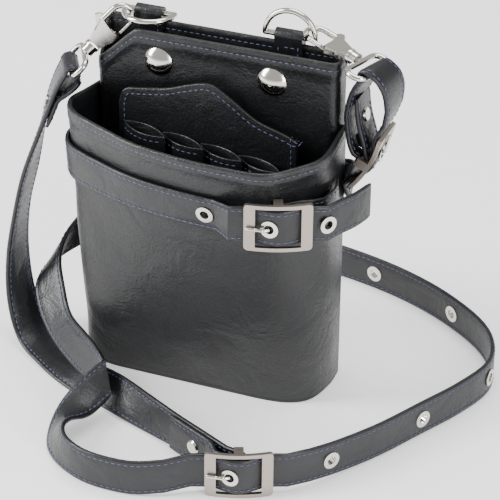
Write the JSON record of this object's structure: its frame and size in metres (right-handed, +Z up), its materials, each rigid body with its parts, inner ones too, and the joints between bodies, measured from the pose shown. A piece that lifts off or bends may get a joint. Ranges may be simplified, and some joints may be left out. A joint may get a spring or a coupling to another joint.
{
  "type": "hairdresser's shear holster",
  "caption": "Two-pocket leather tool holster with a pull-out shear insert, buckled belt, swivel trigger hooks and a long adjustable strap.",
  "frame": {"origin": "middle of the underside of the pouch's base", "axes": "+X to the pouch's right as seen from the front, -Y out of its front, +Z up"},
  "size_m": [0.2623, 0.2425, 0.2064],
  "materials": {
    "leather": "satin, fine pebble grain",
    "nickel": "polished nickel plate",
    "gunmetal": "brushed antique nickel"
  },
  "bodies": {
    "holster": {"base_panel": "leather", "rear_pocket_back": "leather", "rear_pocket_front": "leather", "front_pocket": "leather", "snap_caps": "nickel", "snap_sockets": "nickel", "snap_studs": "nickel", "snap_stud_posts": "nickel", "tab_left": "leather", "tab_right": "leather", "pouch_belt": "leather", "belt_chape": "leather", "belt_eyelets": "nickel", "belt_rivets": "nickel", "belt_buckle_frame": "gunmetal", "belt_buckle_bar": "gunmetal", "strap_left": "leather", "strap_buckle_frame": "gunmetal", "strap_buckle_bar": "gunmetal", "strap_right": "leather", "strap_eyelets": "nickel", "strap_rivets": "nickel", "loop_buckle_frame": "gunmetal", "loop_buckle_bar": "gunmetal"},
    "insert": {"insert_card": "leather", "insert_sleeve_1": "leather", "insert_sleeve_2": "leather", "insert_sleeve_3": "leather", "insert_sleeve_4": "leather"},
    "d_ring_left": {"d_ring_left": "nickel"},
    "d_ring_right": {"d_ring_right": "nickel"},
    "ring_left": {"hook_left_ring": "nickel"},
    "hook_left": {"hook_left_body": "nickel", "hook_left_pin": "nickel", "hook_left_spring": "nickel"},
    "lever_left": {"hook_left_lever": "nickel"},
    "ring_right": {"hook_right_ring": "nickel"},
    "hook_right": {"hook_right_body": "nickel", "hook_right_pin": "nickel", "hook_right_spring": "nickel"},
    "lever_right": {"hook_right_lever": "nickel"},
    "belt_prong": {"belt_buckle_prong": "nickel"},
    "strap_prong": {"strap_buckle_prong": "nickel"},
    "loop_prong": {"loop_buckle_prong": "nickel"}
  },
  "joints": [
    {"name": "insert_slide", "type": "slide", "parent": "holster", "child": "insert", "axis": [0, 0, 1], "range_m": [0, 0.12]},
    {"name": "d_ring_left_hinge", "type": "hinge", "parent": "holster", "child": "d_ring_left", "pos_m": [-0.042, 0.023, 0.1906], "axis": [1, 0, 0], "range_deg": [0, 2]},
    {"name": "d_ring_right_hinge", "type": "hinge", "parent": "holster", "child": "d_ring_right", "pos_m": [0.0345, 0.023, 0.1906], "axis": [1, 0, 0], "range_deg": [-2, 2]},
    {"name": "ring_left_hinge", "type": "hinge", "parent": "holster", "child": "ring_left", "pos_m": [-0.07774, 0.00101, 0.1621], "axis": [-0.5, 0.866, 0], "range_deg": [-0.4, 0.4]},
    {"name": "hook_left_swivel", "type": "hinge", "parent": "ring_left", "child": "hook_left", "pos_m": [-0.07774, 0.00101, 0.1621], "axis": [0.6124, 0.3536, 0.7071], "range_deg": [-4, 4]},
    {"name": "lever_left_pivot", "type": "hinge", "parent": "hook_left", "child": "lever_left", "pos_m": [-0.06218, 0.00999, 0.18006], "axis": [-0.5, 0.866, 0], "range_deg": [-5, 0], "stiffness_Nm_per_rad": 0.004, "springref_deg": 20.05},
    {"name": "ring_right_hinge", "type": "hinge", "parent": "holster", "child": "ring_right", "pos_m": [0.08458, 0.00952, 0.18571], "axis": [0.342, 0.9397, 0], "range_deg": [-0.2, 0.2]},
    {"name": "hook_right_swivel", "type": "hinge", "parent": "ring_right", "child": "hook_right", "pos_m": [0.08458, 0.00952, 0.18571], "axis": [-0.9192, 0.3345, 0.2079], "range_deg": [-3, 3]},
    {"name": "lever_right_pivot", "type": "hinge", "parent": "hook_right", "child": "lever_right", "pos_m": [0.06124, 0.01801, 0.191], "axis": [0.1954, -0.0711, 0.9781], "range_deg": [-5, 0], "stiffness_Nm_per_rad": 0.004, "springref_deg": 20.05},
    {"name": "belt_prong_hinge", "type": "hinge", "parent": "holster", "child": "belt_prong", "pos_m": [0.0548, -0.04551, 0.1225], "axis": [0, 0, 1], "range_deg": [0, 6]},
    {"name": "strap_prong_hinge", "type": "hinge", "parent": "holster", "child": "strap_prong", "pos_m": [0.0574, -0.10281, 0.0129], "axis": [0, 0, 1], "range_deg": [0, 6]},
    {"name": "loop_prong_hinge", "type": "hinge", "parent": "holster", "child": "loop_prong", "pos_m": [0.07986, 0.0155, 0.13663], "axis": [0, 1, 0], "range_deg": [0, 6]}
  ]
}
